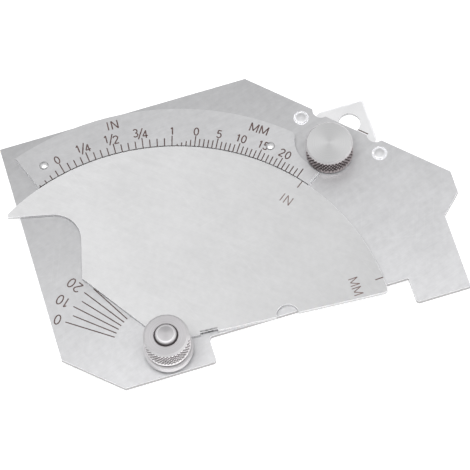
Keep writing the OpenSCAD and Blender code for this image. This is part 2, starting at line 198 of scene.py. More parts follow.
# What the patterns do to a finish's tone, roughness and relief
FINE_SHARE = 0.6
BAND_SHARE = 0.4
STREAK_ROUGH = 0.12
SHEET_FILM = 0.05
TURNED_FILM = 0.06
POLISH_FILM = 0.08
SCRATCH_COVER = 0.05
SCRATCH_TONE = (0.95, 0.95, 0.96)
KNURL_RINGS = 0.05
PATCH_SHARE = 0.5
GROOVE_ROUGH = 0.2
SHEAR_LIGHT = (0.85, 1.12)
SHEAR_SMOOTHER = 0.06
SHEAR_ROUGHER = 0.08
HATCH_FULL = 0.85
CLOUD_COVER = 0.35
CLOUD_TONE = 0.82
ETCH_ROUGH = 0.6
PAPER_TONES = ((0.68, 0.68, 0.68), (0.7, 0.7, 0.7))
PAPER_ROUGH = 0.9
PAPER_GLOW = 0.62
TOOL_MARK_D = 0.004 * MM
SHEET_BUMP = 0.12
TURNED_BUMP = 0.1
PLAIN_STEEL = (0.7, 0.7, 0.71, 1)
WHITE = (1, 1, 1, 1)

# Painted light: sheets are painted lighter towards one side over a plate's width, for how the light falls
# across them
PAINTED_LIGHT_SPAN = 60 * MM

# Table and camera
TABLE_LEVEL = cad_box[0].z - TINY
TABLE_REACH = 3
SENSOR_MM = 36
LENS_MM = 225.64
NEAREST = 0.01
CAMERA_RIGHT = Vector((0.95724, -0.28299, -0.06))
CAMERA_UP = Vector((0.28071, 0.85857, 0.42901))
CAMERA_PLACE = Vector((-0.02517, -0.26325, 0.61738))

# Surround: two values of a direction's part, and the strength at each
SKY_HEIGHT = (0.0, 0.8, 0.4, 0.66)
SKY_FRONT = (-0.7, 0.0, 0.5, 1.0)
SKY_BEHIND = (0.9, 0.97, 1.0, 0.1)

# Face kinds of a plate, in the order of its materials
FLAT, CUT, ETCHED, BRIGHT = range(4)


# Node groups shared by the steels

def new_group(name, inputs, outputs):
    group = bpy.data.node_groups.new(name, "ShaderNodeTree")
    for label, kind, value in inputs:
        socket = group.interface.new_socket(label, in_out="INPUT", socket_type=kind)
        if value is not None:
            socket.default_value = value
    for label, kind in outputs:
        group.interface.new_socket(label, in_out="OUTPUT", socket_type=kind)
    return group, group.nodes.new("NodeGroupInput"), group.nodes.new("NodeGroupOutput")


def feed(tree, socket, value):
    """Sets an input to a number or a colour, or links it to an output."""
    if isinstance(value, tuple):
        socket.default_value = (*value, 1)
    elif isinstance(value, (int, float)):
        socket.default_value = value
    else:
        tree.links.new(value, socket)


def noise(tree, vector, cells, detail):
    """Noise in 0..1 over vector, its cells per metre one number or three along X, Y and Z."""
    if isinstance(cells, tuple):
        mapping = tree.nodes.new("ShaderNodeMapping")
        mapping.inputs["Scale"].default_value = cells
        tree.links.new(vector, mapping.inputs["Vector"])
        vector = mapping.outputs["Vector"]
        cells = 1
    node = tree.nodes.new("ShaderNodeTexNoise")
    node.inputs["Scale"].default_value = cells
    node.inputs["Detail"].default_value = detail
    tree.links.new(vector, node.inputs["Vector"])
    return node.outputs["Fac"]


def axes(tree, vector):
    """The X, Y and Z of a vector."""
    node = tree.nodes.new("ShaderNodeSeparateXYZ")
    tree.links.new(vector, node.inputs["Vector"])
    return node.outputs["X"], node.outputs["Y"], node.outputs["Z"]


def math_node(tree, operation, a, b=None, c=None):
    node = tree.nodes.new("ShaderNodeMath")
    node.operation = operation
    for socket, value in zip(node.inputs, (a, b, c)):
        if value is not None:
            feed(tree, socket, value)
    return node.outputs["Value"]


def map_range(tree, value, low, high, to_low=0, to_high=1):
    node = tree.nodes.new("ShaderNodeMapRange")
    labels = ("Value", "From Min", "From Max", "To Min", "To Max")
    for label, given in zip(labels, (value, low, high, to_low, to_high)):
        feed(tree, node.inputs[label], given)
    return node.outputs["Result"]


def shaded(tree, colour, factor):
    """A colour made lighter or darker by a factor."""
    node = tree.nodes.new("ShaderNodeVectorMath")
    node.operation = "SCALE"
    tree.links.new(colour, node.inputs[0])
    tree.links.new(factor, node.inputs["Scale"])
    return node.outputs["Vector"]


def mixed(tree, factor, a, b):
    """Colour a where the factor is 0, and b where it is 1."""
    node = tree.nodes.new("ShaderNodeMix")
    node.data_type = "RGBA"
    for label, given in (("Factor", factor), ("A", a), ("B", b)):
        feed(tree, node.inputs[label], given)
    return node.outputs["Result"]


def brushed_grain_group():
    """Short fine scratches of a belt finish along X, with soft bands and a faint mottle."""
    tree, given, made = new_group(
        "brushed_grain",
        [("Vector", "NodeSocketVector", None), ("Steel", "NodeSocketColor", PLAIN_STEEL),
         ("Streaks", "NodeSocketFloat", 0.1), ("Mottle", "NodeSocketFloat", 0.05),
         ("Roughness", "NodeSocketFloat", 0.35)],
        [("Color", "NodeSocketColor"), ("Roughness", "NodeSocketFloat"), ("Height", "NodeSocketFloat")])
    vector = given.outputs["Vector"]
    fine = noise(tree, vector, BELT_SCRATCHES, detail=3)
    bands = math_node(tree, "MULTIPLY", noise(tree, vector, BELT_BANDS, detail=2), BAND_SHARE)
    streak = math_node(tree, "MULTIPLY_ADD", fine, FINE_SHARE, bands)
    streak = math_node(tree, "SUBTRACT", streak, NOISE_MEAN)
    mottle = math_node(tree, "SUBTRACT", noise(tree, vector, BELT_MOTTLE, detail=3), NOISE_MEAN)
    light = math_node(tree, "MULTIPLY_ADD", streak, given.outputs["Streaks"], 1.0)
    light = math_node(tree, "MULTIPLY_ADD", mottle, given.outputs["Mottle"], light)
    rough = math_node(tree, "MULTIPLY_ADD", streak, STREAK_ROUGH, given.outputs["Roughness"])
    tree.links.new(shaded(tree, given.outputs["Steel"], light), made.inputs["Color"])
    tree.links.new(rough, made.inputs["Roughness"])
    tree.links.new(fine, made.inputs["Height"])
    return tree


def handling_marks_group():
    """Hairline scratches at odd angles and the soft film that fingers leave."""
    tree, given, made = new_group(
        "handling_marks",
        [("Vector", "NodeSocketVector", None)],
        [("Scratch", "NodeSocketFloat"), ("Film", "NodeSocketFloat")])
    vector = given.outputs["Vector"]
    scratch = 0
    for turn, cells in HAIRLINES:
        mapping = tree.nodes.new("ShaderNodeMapping")
        mapping.inputs["Rotation"].default_value = (0, 0, turn)
        tree.links.new(vector, mapping.inputs["Vector"])
        line = map_range(tree, noise(tree, mapping.outputs["Vector"], cells, detail=0), *HAIRLINE_CUT)
        scratch = math_node(tree, "MAXIMUM", scratch, line)
    film = map_range(tree, noise(tree, vector, FINGER_FILM, detail=4), *FILM_CUT)
    tree.links.new(scratch, made.inputs["Scratch"])
    tree.links.new(film, made.inputs["Film"])
    return tree


def turned_rings_group():
    """Rings that a lathe tool leaves round the Z axis of the vector."""
    tree, given, made = new_group(
        "turned_rings",
        [("Vector", "NodeSocketVector", None), ("Steel", "NodeSocketColor", PLAIN_STEEL),
         ("Rings", "NodeSocketFloat", 0.1)],
        [("Color", "NodeSocketColor"), ("Radius", "NodeSocketFloat"), ("Height", "NodeSocketFloat")])
    x, y, _ = axes(tree, given.outputs["Vector"])
    squares = math_node(tree, "MULTIPLY_ADD", x, x, math_node(tree, "MULTIPLY", y, y))
    radius = math_node(tree, "SQRT", squares)
    ring = tree.nodes.new("ShaderNodeTexNoise")
    ring.noise_dimensions = "1D"
    ring.inputs["Scale"].default_value = LATHE_RINGS
    ring.inputs["Detail"].default_value = 2
    tree.links.new(radius, ring.inputs["W"])
    centred = math_node(tree, "SUBTRACT", ring.outputs["Fac"], NOISE_MEAN)
    light = math_node(tree, "MULTIPLY_ADD", centred, given.outputs["Rings"], 1.0)
    tree.links.new(shaded(tree, given.outputs["Steel"], light), made.inputs["Color"])
    tree.links.new(radius, made.inputs["Radius"])
    tree.links.new(ring.outputs["Fac"], made.inputs["Height"])
    return tree


BRUSHED_GRAIN = brushed_grain_group()
HANDLING_MARKS = handling_marks_group()
TURNED_RINGS = turned_rings_group()


# Materials

def new_material(name, metallic=1.0):
    material = bpy.data.materials.new(name)
    material.use_nodes = True
    shader = material.node_tree.nodes["Principled BSDF"]
    shader.inputs["Metallic"].default_value = metallic
    return material, material.node_tree, shader


def dress(tree, shader, colour, roughness):
    """Gives a shader its colour and its roughness."""
    feed(tree, shader.inputs["Base Color"], colour)
    feed(tree, shader.inputs["Roughness"], roughness)


def place_group(tree, group, vector, **values):
    """A node group laid over vector, with its other inputs given by name."""
    node = tree.nodes.new("ShaderNodeGroup")
    node.node_tree = group
    tree.links.new(vector, node.inputs["Vector"])
    for label, value in values.items():
        feed(tree, node.inputs[label], value)
    return node


def object_vector(tree, turn=0.0, centre=None):
    """Object coordinates counted from a centre, if there is one, and turned about Z by degrees."""
    where = tree.nodes.new("ShaderNodeTexCoord").outputs["Object"]
    mapping = tree.nodes.new("ShaderNodeMapping")
    angle = math.radians(turn)
    mapping.inputs["Rotation"].default_value = (0, 0, angle)
    if centre is not None:
        turned = Matrix.Rotation(angle, 3, "Z") @ centre
        mapping.inputs["Location"].default_value = (-turned.x, -turned.y, 0)
    tree.links.new(where, mapping.inputs["Vector"])
    return mapping.outputs["Vector"]


def bump(tree, shader, height, strength):
    node = tree.nodes.new("ShaderNodeBump")
    node.inputs["Strength"].default_value = strength
    node.inputs["Distance"].default_value = TOOL_MARK_D
    tree.links.new(height, node.inputs["Height"])
    tree.links.new(node.outputs["Normal"], shader.inputs["Normal"])


def tone_drift(tree, colour, towards, change):
    """Painted light: a colour painted lighter in one direction, by this share over a set span, for how the
    light falls across a plate.
    """
    along = tree.nodes.new("ShaderNodeVectorMath")
    along.operation = "DOT_PRODUCT"
    tree.links.new(object_vector(tree, centre=MIDDLE), along.inputs[0])
    a = math.radians(towards)
    along.inputs[1].default_value = (math.cos(a) / PAINTED_LIGHT_SPAN, math.sin(a) / PAINTED_LIGHT_SPAN, 0)
    return shaded(tree, colour, math_node(tree, "MULTIPLY_ADD", along.outputs["Value"], change, 1.0))


def cutter_hatch(tree, vector, dark, pale):
    """Painted shade: a factor that wavers between dark and pale in hatched lines like a cutter's."""
    return map_range(tree, noise(tree, vector, SHADE_HATCH_CELLS, detail=1), *HATCH_CUT, dark, pale)


def milled_strip(tree, colour):
    """Painted shade: a colour darkened, with a hatch, in a strip along the relief beside the hub, for the
    shade under the cam's edge there.
    """
    vector = object_vector(tree, -HUB_RELIEF_TURN, HUB_RELIEF_TOP)
    x, y, _ = axes(tree, vector)
    along = math_node(tree, "ABSOLUTE", x)
    ends = map_range(tree, along, SHADE_STRIP_HALF - SHADE_STRIP_FADE, SHADE_STRIP_HALF, 1, 0)
    side = map_range(tree, y, SHADE_STRIP_W - SHADE_STRIP_FADE, SHADE_STRIP_W, 1, 0)
    cover = math_node(tree, "MULTIPLY", ends, side)
    marks = cutter_hatch(tree, vector, *SHADE_STRIP_TONES)
    return shaded(tree, colour, map_range(tree, cover, 0, 1, 1, marks))


def brushed_steel(name, steel, turn, streaks, mottle, roughness, painted_light=(0, 0), relief_shade=False):
    """Sheet steel with a belt finish at this angle to X, painted lighter one way by a direction and a
    share (painted light), and with a flag a hatched strip of painted shade beside the hub.
    """
    material, tree, shader = new_material(name)
    vector = object_vector(tree, -turn)
    grain = place_group(tree, BRUSHED_GRAIN, vector, Steel=steel, Streaks=streaks, Mottle=mottle,
                        Roughness=roughness)
    marks = place_group(tree, HANDLING_MARKS, vector)
    scratched = math_node(tree, "MULTIPLY", marks.outputs["Scratch"], SCRATCH_COVER)
    colour = mixed(tree, scratched, grain.outputs["Color"], SCRATCH_TONE)
    # Painted shade: a hatched dark strip beside the hub's relief.
    if relief_shade:
        colour = milled_strip(tree, colour)
    rough = math_node(tree, "MULTIPLY_ADD", marks.outputs["Film"], SHEET_FILM, grain.outputs["Roughness"])
    # Painted light: the sheet is painted lighter towards one side.
    dress(tree, shader, tone_drift(tree, colour, *painted_light), rough)
    bump(tree, shader, grain.outputs["Height"], SHEET_BUMP)
    return material


def turned_steel(name, steel, centre, rings, roughness, anisotropy):
    """A lathe-turned face, its sheen drawn out in wedges by the rings."""
    material, tree, shader = new_material(name)
    vector = object_vector(tree, centre=centre)
    turned = place_group(tree, TURNED_RINGS, vector, Steel=steel, Rings=rings)
    marks = place_group(tree, HANDLING_MARKS, vector)
    rough = math_node(tree, "MULTIPLY_ADD", marks.outputs["Film"], TURNED_FILM, roughness)
    tangent = tree.nodes.new("ShaderNodeTangent")
    tangent.direction_type = "RADIAL"
    tangent.axis = "Z"
    shader.inputs["Anisotropic"].default_value = anisotropy
    tree.links.new(tangent.outputs["Tangent"], shader.inputs["Tangent"])
    dress(tree, shader, turned.outputs["Color"], rough)
    bump(tree, shader, turned.outputs["Height"], TURNED_BUMP)
    return material


def knurled_steel(name, steel, groove_shade, centre, tip_r, roughness):
    """Knurl with its grooves painted dark between bright worn tips: painted shade, with some dirt."""
    material, tree, shader = new_material(name)
    vector = object_vector(tree, centre=centre)
    turned = place_group(tree, TURNED_RINGS, vector, Steel=steel, Rings=KNURL_RINGS)
    height = map_range(tree, turned.outputs["Radius"], tip_r - KNURL_D, tip_r)
    patches = noise(tree, vector, KNURL_PATCHES, detail=2)
    patchy = math_node(tree, "MULTIPLY_ADD", patches, PATCH_SHARE, height)
    worn = map_range(tree, patchy, *WEAR_CUT)
    rough = map_range(tree, worn, 0, 1, roughness + GROOVE_ROUGH, roughness)
    dress(tree, shader, mixed(tree, worn, groove_shade, turned.outputs["Color"]), rough)
    return material


def cut_edge_steel(name, steel, roughness, dark_at=None, reach=0.0, shade=(0.2, 0.6)):
    """Sheared plate edge, drawn across its thickness, and painted dark with a hatch within reach of a
    given place: painted shade.
    """
    material, tree, shader = new_material(name)
    vector = object_vector(tree)
    drawn = noise(tree, vector, SHEAR_LINES, detail=2)
    light = map_range(tree, drawn, *SHEAR_CUT, *SHEAR_LIGHT)
    # Painted shade: darker, with a hatch, near dark_at.
    if dark_at is not None:
        away = tree.nodes.new("ShaderNodeVectorMath")
        away.operation = "LENGTH"
        tree.links.new(object_vector(tree, centre=dark_at), away.inputs[0])
        plain = map_range(tree, away.outputs["Value"], HATCH_FULL * reach, reach)
        hatch = cutter_hatch(tree, vector, *shade)
        light = math_node(tree, "MULTIPLY", light, map_range(tree, plain, 0, 1, hatch, 1))
    colour = tree.nodes.new("ShaderNodeRGB").outputs["Color"]
    colour.default_value = (*steel, 1)
    rough = map_range(tree, drawn, *SHEAR_ROUGH_CUT, roughness - SHEAR_SMOOTHER,
                      roughness + SHEAR_ROUGHER)
    dress(tree, shader, shaded(tree, colour, light), rough)
    return material


def polished_steel(name, steel, roughness, foot=None, painted_foot_light=0.2):
    """Bright steel with a faint cloud of use and, if a foot is given, a ring of painted light round a
    dome's foot: a painted highlight where its tone is above one, painted shade where it is below.
    """
    material, tree, shader = new_material(name)
    vector = object_vector(tree)
    marks = place_group(tree, HANDLING_MARKS, vector)
    worn = map_range(tree, noise(tree, vector, POLISH_CLOUD, detail=3), *CLOUD_CUT, 0, CLOUD_COVER)
    dull = tuple(CLOUD_TONE * part for part in steel)
    colour = mixed(tree, worn, steel, dull)
    # Painted light: a ring round the dome's foot, lighter or darker by its tone.
    if foot is not None:
        _, _, level = axes(tree, vector)
        colour = shaded(tree, colour, map_range(tree, level, foot, foot + PAINTED_RING_H, painted_foot_light, 1))
    rough = math_node(tree, "MULTIPLY_ADD", marks.outputs["Film"], POLISH_FILM, roughness)
    dress(tree, shader, colour, rough)
    return material


def etched_mark(name, dark, pale):
    """Brown-black etching, thinner in places."""
    material, tree, shader = new_material(name, metallic=0.0)
    thin = map_range(tree, noise(tree, object_vector(tree), ETCH_PATCHES, detail=3), *ETCH_CUT)
    dress(tree, shader, mixed(tree, thin, dark, pale), ETCH_ROUGH)
    return material


def table_paper(name):
    """Dull white paper that glows a little, so that shadows on it stay pale."""
    material, tree, shader = new_material(name, metallic=0.0)
    tone = map_range(tree, noise(tree, object_vector(tree), PAPER_PATCHES, detail=2), *PAPER_CUT)
    dress(tree, shader, mixed(tree, tone, *PAPER_TONES), PAPER_ROUGH)
    shader.inputs["Emission Color"].default_value = WHITE
    shader.inputs["Emission Strength"].default_value = PAPER_GLOW
    return material


# The pair after the roughness is painted light: the direction in degrees a sheet is painted lighter
# towards, and by how much. The slide has none.
BODY_STEEL = brushed_steel("body_brushed", (0.585, 0.585, 0.595), turn=18, streaks=0.2, mottle=0.2,
                           roughness=0.46, painted_light=(-52, 0.165))
SCALE_STEEL = brushed_steel("scale_brushed", (0.635, 0.635, 0.645), turn=8, streaks=0.2, mottle=0.18,
                            roughness=0.46, painted_light=(0, 0.12))
# The cam gets the hatched strip of painted shade beside its hub.
CAM_STEEL = brushed_steel("cam_brushed", (0.66, 0.66, 0.665), turn=-40, streaks=0.13, mottle=0.12,
                          roughness=0.46, painted_light=(100, 0.27), relief_shade=True)
SLIDE_STEEL = brushed_steel("slide_brushed", (0.9, 0.9, 0.91), turn=45, streaks=0.06, mottle=0.04,
                            roughness=0.42)
# Painted shade: the body's cut edge is painted darker than the other edges, for the shade under the plate
# that it mirrors.
BODY_EDGE_SHADED = cut_edge_steel("body_cut_edge_painted_shade", (0.36, 0.355, 0.355), roughness=0.42)
PALE_EDGE = cut_edge_steel("pale_cut_edge", (0.85, 0.85, 0.86), roughness=0.4)
# Painted shade: the slide's edge is painted dark with a hatch round its hole, in the hole's wall.
SLIDE_EDGE = cut_edge_steel("slide_cut_edge", (0.85, 0.85, 0.86), roughness=0.4, dark_at=SLIDE_HOLE,
                            reach=SLIDE_HOLE_REACH, shade=(0.45, 0.6))
# Painted shade: the cam's edge is painted dark with a hatch near the hub's relief.
CAM_EDGE = cut_edge_steel("cam_cut_edge", (0.58, 0.58, 0.585), roughness=0.5, dark_at=HUB_RELIEF,
                          reach=HUB_RELIEF_REACH)
BRIGHT_STEEL = polished_steel("bright_break", (0.86, 0.86, 0.87), roughness=0.2)
# Painted highlight: a near-white, rough break on the edges that shows as a pale line from any side; partly
# the real stoned edge.
PALE_BREAK_HIGHLIGHT = polished_steel("soft_break_painted_highlight", (0.97, 0.97, 0.98), roughness=0.9)
# Painted highlight: a light ring round the guide rivets' foot. Painted shade: a dark ring round the scale
# rivets' foot.
GUIDE_RIVET = polished_steel("guide_rivet_polish", (0.72, 0.72, 0.73), roughness=0.7,
                             foot=BODY_TOP + GUIDE_RING_UP, painted_foot_light=1.3)
SCALE_RIVET = polished_steel("scale_rivet_polish", (0.96, 0.96, 0.97), roughness=0.3, foot=SCALE_TOP)
WASHER_STEEL = polished_steel("washer_polish", (0.7, 0.69, 0.7), roughness=0.6)
SOFT_RIM = polished_steel("nut_soft_rim", (0.7, 0.69, 0.7), roughness=0.6)
# Painted shade: the nut's neck and lower knurl rim are painted dark, for the shade under the knurl.
NECK_SHADE_STEEL = polished_steel("nut_neck_painted_shade", (0.3, 0.28, 0.29), roughness=0.4)
# Painted shade: the nut's bore and the stud's side are painted dark, for the shade in the gap round the
# stud.
THREAD_SHADE_STEEL = polished_steel("thread_painted_shade", (0.42, 0.4, 0.405), roughness=0.4)
ETCHED_LINE = etched_mark("etched_line", dark=(0.07, 0.036, 0.032), pale=(0.13, 0.083, 0.075))
CAM_MARK = etched_mark("cam_mark", dark=(0.14, 0.09, 0.082), pale=(0.23, 0.17, 0.158))


# Pieces

def set_smooth(bm):
    """Smooth faces, with edges sharper than SMOOTH_LIMIT kept crisp."""
    for face in bm.faces:
        face.smooth = True
    for edge in bm.edges:
        crisp = len(edge.link_faces) != 2 or edge.calc_face_angle() > math.radians(SMOOTH_LIMIT)
        edge.smooth = not crisp


def mesh_object(bm, name, materials):
    """Turns a bmesh into an object in the scene."""
    mesh = bpy.data.meshes.new(name)
    bm.to_mesh(mesh)
    bm.free()
    if "custom_normal" in mesh.attributes:
        mesh.attributes.remove(mesh.attributes["custom_normal"])
    for material in materials:
        mesh.materials.append(material)
    obj = bpy.data.objects.new(name, mesh)
    scene.collection.objects.link(obj)
    return obj


def piece(bm, name, body, materials):
    """Turns a bmesh into a piece that moves with a body."""
    set_smooth(bm)
    obj = mesh_object(bm, name, materials)
    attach(obj, body)
    return obj


def face_kind(face, low, high):
    """Which of a plate's finishes this face gets."""
    bottom = min(v.co.z for v in face.verts)
    depth = high - bottom
    upright = abs(face.normal.z)
    if upright > LEVEL and (depth < TINY or bottom < low + TINY):
        return FLAT
    if SLOPED < upright < LEVEL:
        return BRIGHT
    if depth < GROOVE_D + TINY:
        return ETCHED
    if depth < SINK_D + TINY:
        return BRIGHT
    return CUT


def is_rim(edge):
    """Whether an edge lies between a flat face and a cut or bright one, at a sharp angle."""
    kinds = {face.material_index for face in edge.link_faces}
    return (len(edge.link_faces) == 2 and kinds in ({FLAT, CUT}, {FLAT, BRIGHT})
            and edge.calc_face_angle() > math.radians(SHARP_RIM))


def at_scale_end(edge):
    """Whether an edge lies along the scale plate's right end."""
    ways = [(v.co - PIVOT).xy for v in edge.verts]
    angles = [math.degrees(math.atan2(way.y, way.x)) for way in ways]
    return all(abs(angle - SCALE_END) < SCALE_END_NEAR for angle in angles)


def broken_edges(node, body, sheet, edge, mark=ETCHED_LINE, bright=BRIGHT_STEEL):
    """A plate with its sheared rims broken by a fine stone and its engraved lines darkened."""
    low, high = (corner.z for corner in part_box(node))
    bm = bmesh.new()
    bm.from_mesh(frame["nodes"][node].data)
    bmesh.ops.remove_doubles(bm, verts=bm.verts, dist=MERGE_NEAR)
    bmesh.ops.dissolve_limit(bm, angle_limit=math.radians(SAME_PLANE), verts=bm.verts, edges=bm.edges)
    for face in bm.faces:
        face.material_index = face_kind(face, low, high)
    rims = [e for e in bm.edges if is_rim(e)]
    wide = [e for e in rims if node == "scale_plate" and at_scale_end(e)]
    fine = [e for e in rims if e not in wide]
    for edges, width in ((wide, WIDE_BREAK), (fine, EDGE_BREAK)):
        kept = [e for e in edges if e.is_valid]
        made = bmesh.ops.bevel(bm, geom=kept, offset=width, offset_type="OFFSET", affect="EDGES",
                               segments=2, profile=0.5, material=-1, clamp_overlap=True)
        for face in made["faces"]:
            face.material_index = BRIGHT
    obj = piece(bm, node + "_finished", body, [sheet, edge, mark, bright])
    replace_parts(obj, node)


def spun(profile, centre, steps, closed):
    """A bmesh turned round the Z axis at centre from (radius, height) points."""
    bm = bmesh.new()
    verts = [bm.verts.new((centre.x + r, centre.y, z)) for r, z in profile]
    pairs = list(zip(verts, verts[1:])) + ([(verts[-1], verts[0])] if closed else [])
    edges = [bm.edges.new(pair) for pair in pairs]
    bmesh.ops.spin(bm, geom=verts + edges, cent=(centre.x, centre.y, 0), axis=(0, 0, 1),
                   angle=math.tau, steps=steps, use_merge=True)
    bmesh.ops.remove_doubles(bm, verts=bm.verts, dist=MERGE_NEAR)
    bmesh.ops.recalc_face_normals(bm, faces=bm.faces)
    return bm


def knurl_rows(low, high):
    """Heights of the knurl's crossings, half a diamond apart."""
    count = 2 * round((high - low) / KNURL_RISE)
    return [low + (high - low) * i / count for i in range(count + 1)]


def cut_knurl(bm, centre, teeth, rows, tip_r):
    """Presses crossing grooves into a spun side wall between its end rows, a pyramid between each four."""
    low = []
    for v in bm.verts:
        off = v.co.xy - centre.xy
        row = next((i for i, z in enumerate(rows[1:-1]) if abs(v.co.z - z) < TINY), None)
        if row is None or abs(off.length - tip_r) > TINY:
            continue
        column = round(math.atan2(off.y, off.x) / math.tau * 2 * teeth)
        if (row + column) % 2:
            off *= (tip_r - KNURL_D) / tip_r
            v.co.xy = centre.xy + off
            low.append(v)
    bmesh.ops.connect_verts(bm, verts=low)


def finish_kinds(bm, pick):
    """Gives each face the material that pick names for it."""
    for face in bm.faces:
        face.material_index = pick(face)


def radius_of(face, centre):
    return (face.calc_center_median().xy - centre.xy).length


def lock_nut():
    """Knurled nut on a plain neck, with a sloped upper rim."""
    low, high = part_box("cam_lock_nut")
    tip_r = (high.x - low.x) / 2
    teeth = round(math.tau * tip_r / KNURL_PITCH)
    rows = knurl_rows(low.z + NECK_H + KNURL_END, high.z - NUT_SLOPE_H)
    neck_r = tip_r - NECK_IN
    profile = [(BORE_R, low.z), (neck_r, low.z), (neck_r, low.z + NECK_H),
               (tip_r - KNURL_END, low.z + NECK_H)]
    profile += [(tip_r, z) for z in rows]
    profile += [(tip_r - NUT_SLOPE_W, high.z), (BORE_R + BORE_BREAK, high.z),
                (BORE_R, high.z - BORE_BREAK)]
    bm = spun(profile, PIVOT, 2 * teeth, closed=True)
    cut_knurl(bm, PIVOT, teeth, rows, tip_r)
    turned, knurl, rim, bore, slope, neck = range(6)

    def pick(face):
        z = face.calc_center_median().z
        r = radius_of(face, PIVOT)
        if z > high.z - TINY:
            return turned
        if r < neck_r + TINY:
            return neck if r > BORE_R + BORE_BREAK else bore
        if z > rows[-1]:
            return slope
        return rim if z < rows[0] else knurl

    finish_kinds(bm, pick)
    # The knurl's second colour is painted shade in its grooves.
    steels = [turned_steel("nut_turned", (0.47, 0.46, 0.47), PIVOT, rings=0.2, roughness=0.45,
                           anisotropy=0.1),
              knurled_steel("nut_knurl", (0.88, 0.86, 0.87), (0.22, 0.2, 0.205), PIVOT, tip_r,
                            roughness=0.55),
              NECK_SHADE_STEEL, THREAD_SHADE_STEEL, SOFT_RIM, NECK_SHADE_STEEL]
    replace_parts(piece(bm, "cam_lock_nut_knurled", "cam_nut", steels), "cam_lock_nut")


def lock_screw():
    """Knurled knob with its shank, seated just over the body."""
    low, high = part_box("slide_lock_screw")
    tip_r = (high.x - low.x) / 2
    teeth = round(math.tau * tip_r / KNURL_PITCH)
    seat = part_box("body_plate")[1].z + SEAT_GAP
    under = seat + SEAT_H
    rows = knurl_rows(under + KNURL_END, high.z - KNURL_END)
    end_r = tip_r - KNURL_END
    profile = [(0, low.z), (SHANK_R, low.z), (SHANK_R, seat), (SEAT_R, seat), (SEAT_R, under),
               (end_r, under)]
    profile += [(tip_r, z) for z in rows]
    profile += [(end_r, high.z), (0, high.z)]
    bm = spun(profile, LOCK, 2 * teeth, closed=False)
    cut_knurl(bm, LOCK, teeth, rows, tip_r)
    turned, knurl, rim = range(3)

    def pick(face):
        z = face.calc_center_median().z
        if z > high.z - TINY:
            return turned
        return rim if z > rows[-1] or z < rows[0] else knurl

    finish_kinds(bm, pick)
    # The knurl's second colour is painted shade in its grooves.
    steels = [turned_steel("knob_turned", (0.63, 0.63, 0.635), LOCK, rings=0.12, roughness=0.44,
                           anisotropy=0.25),
              knurled_steel("knob_knurl", (0.6, 0.54, 0.545), (0.075, 0.058, 0.062), LOCK, tip_r,
                            roughness=0.5),
              SOFT_RIM]
    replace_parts(piece(bm, "slide_lock_screw_knurled", "lock_screw", steels),
                "slide_lock_screw")


def pivot_stud():
    """Stud with a rounded end in front and a sloped head behind, below the body's mid-plane."""
    low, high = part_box("pivot_stud")
    back = low.z + STUD_HEAD_H
    half = STUD_HEAD_H / 2
    profile = [(0, low.z), (STUD_HEAD_R - half, low.z), (STUD_HEAD_R, low.z + half), (STUD_HEAD_R, back),
               (STUD_R, back)]
    for i in range(ROUND_STEPS + 1):
        a = math.pi / 2 * i / ROUND_STEPS
        inwards = STUD_ROUND * (1 - math.cos(a))
        down = STUD_ROUND * (1 - math.sin(a))
        profile.append((STUD_R - inwards, high.z - down))
    profile.append((0, high.z))
    bm = spun(profile, PIVOT, TURN_STEPS, closed=False)
    top, shoulder, side = range(3)

    def pick(face):
        z = face.calc_center_median().z
        if z > high.z - TINY:
            return top
        return shoulder if z > high.z - STUD_ROUND / 2 or z < 0 else side

    finish_kinds(bm, pick)
    steels = [turned_steel("stud_turned", (0.455, 0.445, 0.455), PIVOT, rings=0.08, roughness=0.4,
                           anisotropy=0.3),
              SOFT_RIM, THREAD_SHADE_STEEL]
    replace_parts(piece(bm, "pivot_stud_rounded", "body", steels), "pivot_stud")


# Figures, each a few strokes in a box one high and centred on its middle

def bowl(x, y, rx, ry, start, end, steps=8):
    """Points along part of an ellipse, angles in degrees."""
    turns = [math.radians(start + (end - start) * i / steps) for i in range(steps + 1)]
    return [(x + rx * math.cos(a), y + ry * math.sin(a)) for a in turns]


HALF_W = 0.27
FIGURES = {
    "0": [bowl(0, 0, HALF_W, 0.5, 0, 360, 16)],
    "1": [[(-0.16, 0.28), (0.04, 0.5), (0.04, -0.5)]],
    "2": [bowl(0, 0.24, HALF_W, 0.26, 170, -30) + [(-HALF_W, -0.5), (HALF_W, -0.5)]],
    "3": [bowl(-0.02, 0.25, 0.24, 0.25, 150, -90), bowl(-0.02, -0.25, HALF_W, 0.25, 90, -150)],
    "4": [[(0.3, -0.2), (-0.3, -0.2), (0.1, 0.5), (0.1, -0.5)]],
    "5": [[(0.24, 0.5), (-0.18, 0.5), (-0.22, 0.05)] + bowl(-0.01, -0.18, 0.28, 0.32, 130, -150)],
    "6": [bowl(0.16, -0.1, 0.43, 0.6, 85, 180, 6), bowl(0, -0.2, HALF_W, 0.3, 0, 360, 14)],
    "/": [[(-0.3, -0.7), (0.3, 0.7)]],
    "I": [[(0, 0.5), (0, -0.5)]],
    "N": [[(-0.32, -0.5), (-0.32, 0.5), (0.32, -0.5), (0.32, 0.5)]],
    "M": [[(-0.4, -0.5), (-0.4, 0.5), (0, -0.4), (0.4, 0.5), (0.4, -0.5)]],
}
ADVANCE = {"1": 0.6, "I": 0.55, "N": 0.95, "M": 1.12, "/": 0.42}
PLAIN_ADVANCE = 0.84
SAME_POINT = 0.001
FRACTION_STEP = 0.56
FRACTION_RISE = 0.16


def straight_runs(points):
    """A stroke cut at its corners, so that each run keeps its full width."""
    runs = [points[:2]]
    for before, corner, after in zip(points, points[1:], points[2:]):
        bend = (Vector(corner) - Vector(before)).angle(Vector(after) - Vector(corner))
        if bend > math.radians(STROKE_CORNER):
            runs.append([corner])
        runs[-1].append(after)
    return runs


